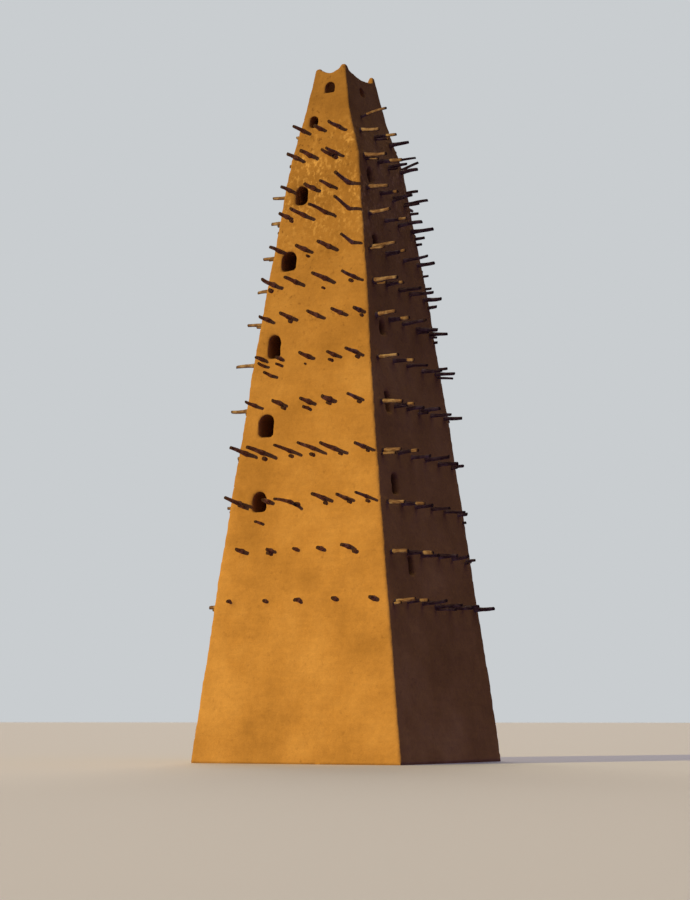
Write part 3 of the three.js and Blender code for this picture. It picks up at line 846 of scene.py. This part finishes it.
# %% Divide the skin
LIFTS = [("foot", 0.0, 6.91), ("lower", 6.91, 12.05), ("middle", 12.05, 18.44), ("upper", 18.44, CROWN_FROM)]
shell = {}
for lift, low, high in LIFTS:
    shell[lift] = piece_of(shaft_skin, "shell_" + lift, low - (CLEAR if low == 0 else 0), high)
shell["crown"] = piece_of(crown_skin, "shell_crown", CROWN_FROM, HEIGHT + CLEAR)
for lift, made in shell.items():
    if lift == "crown":
        corners = ("front_left", "front_right", "back_right", "back_left")
        nodes = ["parapet_" + face for face in FACES] + ["corner_horn_" + corner for corner in corners]
    elif lift == "foot":
        nodes = [face + "_wall_foot" for face in FACES if face != "back"]
        nodes += ["back_wall_over_door", "back_wall_left_of_door", "back_wall_right_of_door"]
    else:
        nodes = [face + "_wall_" + lift for face in FACES]
    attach(made, "root")
    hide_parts(*nodes)
    print(made.name, len(made.data.polygons), "faces, for", len(nodes), "pieces of the model")
bpy.data.meshes.remove(shaft_skin)
bpy.data.meshes.remove(crown_skin)

# %% [markdown]
# ## Palm trunks
#
# A pole is a young palm's trunk, or a split of one, cut with an axe. It is never quite straight or round,
# it thins towards one end, and its cut end is slightly dished and splintered. A plain tapered cylinder
# would look turned on a lathe. Each trunk is therefore a tube of rings along a bent line, with each ring a
# little out of round, and it keeps its own coordinates for the grain. The course poles are laid butt end to
# the wall, so they swell where they leave it.

# %% One trunk after another in a mesh
ROOT_DEPTH = 0.25  # how deep in the wall a dressed trunk starts
SWELL_RUN = 0.2  # how far from the wall's face the swelling fades
OUT_OF_ROUND = (0.02, 0.07)
RING_WOBBLE = 0.05
TWIST = 0.6
SLANT = 0.25  # how far from square the axe leaves the cut end, which is drawn in by DRAWN_IN of the radius
DRAWN_IN = 0.25
CUT_RINGS = [(0.86, 0.006), (0.45, -0.004)]  # share of the width, and rise, of the rings across the cut end
GRAIN_SHIFTS = 97  # each trunk's grain starts at another place, so that neighbours differ
SHARP = math.radians(50)


class Bundle:
    """Collects trunks that end up in one piece."""

    def __init__(self):
        self.points, self.faces, self.grain, self.cut = [], [], [], []

    def add(self, start, end, radius, seed, sides=11, rings=13, bend=0.02, taper=0.25, swell=0.0):
        chance = random.Random(seed)
        run = end - start
        length = run.length
        turn = Vector((0, 0, 1)).rotation_difference(run)
        bends = [Vector((chance.uniform(-1, 1), chance.uniform(-1, 1), 0)) * bend * length for _ in range(2)]
        lobes = [(chance.uniform(*OUT_OF_ROUND), chance.uniform(0, 2 * math.pi), n) for n in (2, 3, 5)]
        twist = chance.uniform(-TWIST, TWIST)
        tilt = Vector((chance.uniform(-1, 1), chance.uniform(-1, 1), 0)) * SLANT
        first = len(self.points)
        stops = [(i / (rings - 1), 1.0, 0.0) for i in range(rings)]
        stops += [(1.0, narrowing, dish) for narrowing, dish in CUT_RINGS]
        for t, narrowing, dish in stops:
            middle = bends[0] * math.sin(math.pi * t) + bends[1] * math.sin(2 * math.pi * t) * 0.5
            size = radius * (1 + taper * (0.5 - t)) * (1 + RING_WOBBLE * chance.uniform(-1, 1)) * narrowing
            size *= 1 + swell * math.exp(-(((length * t - ROOT_DEPTH) / SWELL_RUN) ** 2))
            for i in range(sides):
                angle = 2 * math.pi * i / sides + twist * t
                round_out = 1 + sum(depth * math.cos(n * angle + phase) for depth, phase, n in lobes)
                across = Vector((math.cos(angle), math.sin(angle), 0)) * size * round_out
                along = length * t + dish
                if t == 1.0:
                    along = along + tilt.dot(across) - radius * DRAWN_IN
                self.points.append(start + turn @ (middle + across + Vector((0, 0, along))))
                self.grain.append(across + Vector((seed % GRAIN_SHIFTS, 0, along)))
                self.cut.append(float(t == 1.0))
        for ring in range(len(stops) - 1):
            a, b = first + ring * sides, first + (ring + 1) * sides
            for i in range(sides):
                j = (i + 1) % sides
                self.faces.append((a + i, a + j, b + j, b + i))
        self.faces.append(tuple(first + i for i in reversed(range(sides))))
        self.faces.append(tuple(first + (len(stops) - 1) * sides + i for i in range(sides)))

    def piece(self, name, *nodes):
        mesh = bpy.data.meshes.new(name)
        mesh.from_pydata([tuple(p) for p in self.points], [], self.faces)
        mesh.attributes.new("grain", "FLOAT_VECTOR", "POINT").data.foreach_set(
            "vector", [value for g in self.grain for value in g]
        )
        mesh.attributes.new("cut", "FLOAT", "POINT").data.foreach_set("value", self.cut)
        mesh.shade_smooth()
        mesh.set_sharp_from_angle(angle=SHARP)
        mesh.materials.append(pole_wood)
        made = placed(name, mesh)
        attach(made, "root")
        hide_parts(*nodes)
        return made


print("a trunk starts", ROOT_DEPTH, "m inside the wall and is drawn in at its cut end")

# %% [markdown]
# ### The courses of poles
#
# Only the outer part of each pole shows, so each dressed pole starts a hand's depth inside the wall. Some
# poles have a short broken stub below them, where an older one has snapped off. A few odd poles stand
# between the courses, and on the sides a thinner stick often shares a pole's hole.

# %% Stubs, odd poles and thinner sticks
# Height, share of the face's width, reach, rise in degrees, and thickness against a pole's, of each stub and
# odd pole.
STUBS = {
    "front": [
        (7.84, 0.31, 0.20, 0, 1.4), (7.78, 0.82, 0.20, 0, 1.1), (8.95, 0.23, 0.38, 5, 0.8),
        (9.58, 0.09, 0.40, 5, 0.8), (9.62, 0.456, 0.16, 0, 1.35),
        (9.62, 0.64, 0.12, 0, 1.1), (9.63, 0.80, 0.14, 0, 1.15), (9.62, 0.925, 0.12, 0, 1.0),
        (11.45, 0.20, 0.13, 0, 1.15), (11.48, 0.40, 0.13, 0, 1.15), (11.50, 0.55, 0.14, 0, 1.1),
        (11.46, 0.75, 0.10, 0, 0.95), (11.51, 0.933, 0.10, 0, 0.95), (13.25, 0.50, 0.34, 5, 0.8),
        (13.38, 0.31, 0.12, 0, 1.2), (13.44, 0.655, 0.12, 0, 1.2), (13.40, 0.89, 0.13, 0, 1.2),
        (14.65, 0.16, 0.58, 5, 0.8), (15.05, 0.09, 0.45, 6, 0.8), (15.04, 0.23, 0.30, 4, 0.8),
        (15.03, 0.46, 0.08, 0, 0.6), (15.10, 0.67, 0.18, 0, 0.9), (15.13, 0.89, 0.12, 0, 1.1),
        (16.77, 0.285, 0.14, 0, 1.2), (16.74, 0.945, 0.11, 0, 1.0), (18.08, 0.05, 0.14, 0, 1.3),
        (17.97, 0.58, 0.13, 0, 0.7), (18.15, 0.845, 0.13, 0, 1.15), (19.32, 0.39, 0.14, 0, 0.8),
        (20.83, 0.14, 0.12, 0, 1.0), (23.22, 0.67, 0.18, 0, 1.2),
    ],
    "right": [
        (9.32, 0.97, 0.18, 0, 0.8), (13.62, 0.97, 0.18, 0, 0.8), (15.40, 0.97, 0.43, 2, 0.8),
        (16.50, 0.97, 0.15, 0, 0.8), (17.88, 0.96, 0.40, 2, 0.8), (18.63, 0.97, 0.26, 2, 0.8),
        (19.15, 0.97, 0.25, 0, 0.8), (20.42, 0.97, 0.24, 0, 0.8), (20.64, 0.96, 0.40, 3, 0.8),
        (21.65, 0.97, 0.32, 0, 0.8), (22.50, 0.97, 0.49, 2, 0.8), (23.40, 0.95, 0.75, 14, 0.8),
        (23.84, 0.96, 0.72, 2, 0.8),
    ],
}
STUB_SPREAD = 0.1
# Of the thinner sticks: how many poles have one, how far below and beside its pole it lies, its thickness and
# reach against the pole's, and how much it differs from the pole sideways and in rise.
COMPANION_SHARE, BELOW, BESIDE, THINNER = 0.35, 0.09, 0.08, 0.7
COMPANION_REACH, COMPANION_ASIDE, COMPANION_RISE = (0.35, 0.8), (-0.12, 0.12), (-0.08, 0.04)
print("stubs and odd poles:", {face: len(stubs) for face, stubs in STUBS.items()})


# %% Lay the courses
def nearest_course(z):
    return min(range(len(COURSES)), key=lambda level: abs(COURSES[level][0] - z))


courses = []
for level in range(len(COURSES)):
    bundle = Bundle()
    for face in FACES:
        z = bedded(face, level)
        for key, along, reach, aside, rise, radius in poles_on(face, level):
            start, end = pole_line(face, z, along, reach, aside, rise, ROOT_DEPTH)
            bundle.add(start, end, radius, seed=key, taper=0.35, swell=0.24)
            chance = random.Random(7000 + key)
            if face != "front" and chance.random() < COMPANION_SHARE:
                start, end = pole_line(
                    face, z - BELOW, along + chance.choice([-BESIDE, BESIDE]),
                    reach * chance.uniform(*COMPANION_REACH), aside + chance.uniform(*COMPANION_ASIDE),
                    rise + chance.uniform(*COMPANION_RISE), ROOT_DEPTH,
                )
                bundle.add(start, end, radius * THINNER, seed=5000 + key, rings=9)
    for face, stubs in STUBS.items():
        for number, (stub_z, share, reach, degrees, thickness) in enumerate(stubs):
            if level == nearest_course(stub_z):
                start, end = pole_line(
                    face, stub_z, (2 * share - 1) * face_size(face, stub_z)[0], reach,
                    STUB_SPREAD * wobble(number), math.tan(math.radians(degrees)), ROOT_DEPTH,
                )
                radius = POLE_RADIUS * (thickness + STUB_SPREAD * wobble(number + 40))
                bundle.add(start, end, radius, seed=9000 + number, rings=8)
    courses.append(bundle.piece(f"poles_course_{level + 1:02d}", f"toron_course_{level + 1:02d}"))
print("laid", len(courses), "courses with", sum(len(c.data.polygons) for c in courses), "faces")

# %% [markdown]
# ### The lintel and the terrace
#
# The doorway's head is a row of poles laid side by side, each as long as the doorway is wide and a forearm
# more at each end. The terrace rests on poles across the head of the shaft, tied by one laid lengthwise.
# One lone pole stands out of the right face just below the terrace.

# %% Lay the lintel
LINTEL_SLIM, JOIST_SLIM = 0.96, 0.95  # a dressed pole is this share of its plain one's radius
# The plain poles have six sides and lie on a flat one, so they stand less high than a round pole would.
LINTEL_HALF_HEIGHT = DOOR_POLE * math.cos(math.pi / 6)
lintel_level = DOOR_HEIGHT + LINTEL_HALF_HEIGHT
outermost = face_size("back", DOOR_HEIGHT + 2 * LINTEL_HALF_HEIGHT)[1] - DOOR_SET_BACK - DOOR_POLE
lintel_pitch = 1.6 * DOOR_POLE
lintel_count = int((shaft_wall(DOOR_HEIGHT) - 2 * DOOR_POLE - 2 * DOOR_SET_BACK) / lintel_pitch) + 1
lintel_reach = DOOR_WIDTH / 2 + DOOR_PAST
lintel = Bundle()
for i in range(lintel_count):
    out = outermost - i * lintel_pitch
    start, end = [face_point("back", side * lintel_reach, out, lintel_level) for side in (-1, 1)]
    lintel.add(start, end, DOOR_POLE * LINTEL_SLIM, seed=500 + i, bend=0.004, taper=0.08)
lintel.piece("door_lintel_poles", "door_lintel")
print("laid", lintel_count, "lintel poles")

# %% Lay the terrace's poles
# A pole's radius, the spacing, how far the poles run into the wall, and the length of the hatch.
JOIST, JOIST_SPACING, BEARING, HATCH_LONG = 0.06, 0.43, 0.12, 0.64
head_x, head_y, head_lean = outline(SHAFT_TOP)
joist_end, terrace_end = head_x - HEAD_WALL + BEARING, head_y - HEAD_WALL + BEARING
joist_level = SHAFT_TOP + JOIST
terrace = Bundle()
for i in range(int((2 * terrace_end - HATCH_LONG - JOIST) / JOIST_SPACING) + 1):
    y = terrace_end - JOIST - i * JOIST_SPACING
    start, end = [Vector((head_lean + side * joist_end, y, joist_level)) for side in (-1, 1)]
    terrace.add(start, end, JOIST * JOIST_SLIM, seed=600 + i, bend=0.006, taper=0.1)
tie_x = head_lean - joist_end + BEARING + 2 * JOIST
start, end = [Vector((tie_x, side * terrace_end, joist_level)) for side in (-1, 1)]
terrace.add(start, end, JOIST * JOIST_SLIM, seed=650, bend=0.004, taper=0.1)
terrace.piece("terrace_poles", "terrace_joists")
print("the terrace's poles lie", round(joist_level, 2), "m up")

# %% Lay the lone pole
# Its height where it leaves the wall, its distance from the front corner, its reach, its rise and its radius.
LONE_Z, LONE_BEHIND, LONE_REACH, LONE_RISE, LONE_RADIUS = 25.06, 0.93, 1.11, math.tan(math.radians(11)), 0.06
LONE_BED = 0.3  # how deep in the wall it starts
lone_half, lone_out = face_size("right", LONE_Z)
lone = Bundle()
start, end = [
    face_point("right", LONE_BEHIND - lone_half, lone_out + reach, LONE_Z + reach * LONE_RISE)
    for reach in (-LONE_BED, LONE_REACH)
]
lone.add(start, end, LONE_RADIUS, seed=700)
lone.piece("lone_pole", "lone_toron_right")
print("the lone pole stands out by", LONE_REACH, "m")

# %% [markdown]
# ### The two floors
#
# The floor in the foot and the terrace deck are beaten earth, level and smooth from feet. Their plain
# shapes are right as they are in the model, and only their surface is dressed.

# %% Dress the floors
for name in ("ground_floor", "terrace_deck"):
    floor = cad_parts[name]
    for slot in floor.material_slots:
        slot.material = floor_earth
    print(name, "is dressed in", floor.material_slots[0].material.name)

# %% [markdown]
# ## The stage
#
# The tower stands on a plain pale floor that runs to the horizon. The main light is one low warm lamp from
# the left of the front. A wide soft lamp from behind shows the back of the tower, and it reaches neither
# the front nor the right face. The fill is dim and blue from the sides, so that the shaded face keeps its
# depth, and brighter and warmer from overhead, so that the floor stays pale. The floor throws no light back
# at the tower.

# %% The floor
GROUND_HALF, GROUND_CORNER, GROUND_LEVELS = 1200, 300, (-0.25, -0.002)
floor_material, floor_tree = new_material("pale_floor")
pale = {"Base Color": colour("#E2E3E3"), "Roughness": 0.9, "IOR": 1.45}
plain = node(floor_tree, "ShaderNodeBsdfPrincipled", pale)
node(floor_tree, "ShaderNodeOutputMaterial", {"Surface": plain.outputs["BSDF"]})
ground_rings = [rounded_rectangle(GROUND_HALF, GROUND_HALF, z, GROUND_CORNER, 0) for z in GROUND_LEVELS]
ground = loft("pale_ground", ground_rings)
ground.data.materials.append(floor_material)
ground.visible_diffuse = False
ground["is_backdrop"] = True
print("the floor runs", GROUND_HALF, "m each way")

# %% The soft fill from all round
SIDE_FILL, OVERHEAD_FILL = (0.064, 0.049, 0.205, 1.0), (0.43, 0.41, 0.37, 1.0)  # as linear light
world = bpy.data.worlds.new("soft_fill")
world.use_nodes = True
world.node_tree.nodes.clear()
direction = node(world.node_tree, "ShaderNodeTexCoord").outputs["Generated"]
up = node(world.node_tree, "ShaderNodeSeparateXYZ", {"Vector": direction}).outputs["Z"]
overhead = node(world.node_tree, "ShaderNodeMapRange", {"Value": up, "From Min": 0.6, "From Max": 0.8})
fills = {"Factor": overhead.outputs["Result"], 6: SIDE_FILL, 7: OVERHEAD_FILL}
dome = node(world.node_tree, "ShaderNodeMix", fills, data_type="RGBA")
fill = node(world.node_tree, "ShaderNodeBackground", {"Color": dome.outputs[2]})
backdrop = node(world.node_tree, "ShaderNodeBackground", {"Color": colour("#C9CDD0"), "Strength": 1.0})
seen = node(world.node_tree, "ShaderNodeLightPath").outputs["Is Camera Ray"]
both = node(world.node_tree, "ShaderNodeMixShader", {"Fac": seen, 1: fill.outputs[0], 2: backdrop.outputs[0]})
node(world.node_tree, "ShaderNodeOutputWorld", {"Surface": both.outputs[0]})
bpy.context.scene.world = world
print("the fill is", world.name)


# %% The lamps
def lamp(name, energy, soft, hex_code, elevation, turn):
    """A distant lamp. Its turn is 0 in front of the tower and grows to the viewer's left, in degrees."""
    light = bpy.data.lights.new(name, "SUN")
    light.energy = energy
    light.angle = math.radians(soft)
    light.color = colour(hex_code)[:3]
    placed(name, light).rotation_euler = (math.radians(90 - elevation), 0, math.radians(-turn))


lamp("low_warm_lamp", energy=3.55, soft=1.5, hex_code="#FFE38B", elevation=13.5, turn=24.3)
lamp("soft_back_lamp", energy=1.2, soft=40.0, hex_code="#FFF1DC", elevation=20.4, turn=148.0)
print("lamps:", [each.name for each in bpy.data.lights])

# %% [markdown]
# ### The camera
#
# It stands at eye height, far enough away for a long lens, and a little to the right of the front. It is
# aimed at the tower's middle, so that the eye level comes out below the middle of the picture.

# %% Place the camera
DISTANCE, EYE, AZIMUTH = 85.0, 1.6, math.radians(28.3)
FOCAL_LENGTH, SENSOR, SEES_TO = 87.9, 36, 3000
# In pixels of the picture: the focal length, how far the eye level lies below the picture's middle, and how
# far the tower's axis lies to the right of it.
FOCAL_PIXELS, EYE_BELOW, AXIS_RIGHT = 2197, 270, 4
lens = bpy.data.cameras.new("camera")
lens.lens = FOCAL_LENGTH
lens.sensor_width = SENSOR
lens.clip_end = SEES_TO
camera = placed("camera", lens)
camera.location = (DISTANCE * math.sin(AZIMUTH), -DISTANCE * math.cos(AZIMUTH), EYE)
upward, leftward = math.atan(EYE_BELOW / FOCAL_PIXELS), math.atan(AXIS_RIGHT / FOCAL_PIXELS)
camera.rotation_euler = (math.pi / 2 + upward, 0, AZIMUTH + leftward)
bpy.context.scene.camera = camera
bpy.context.scene.view_settings.view_transform = "Standard"
print("the camera stands", DISTANCE, "m away")

# %% [markdown]
# ## A last look at the size
#
# Dressing a model mustn't change its size, so the dressed tower's box is written down at the end.

# %% Write down the dressed box
low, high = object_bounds()
print("dressed:", [round(b - a, 3) for a, b in zip(low, high)])
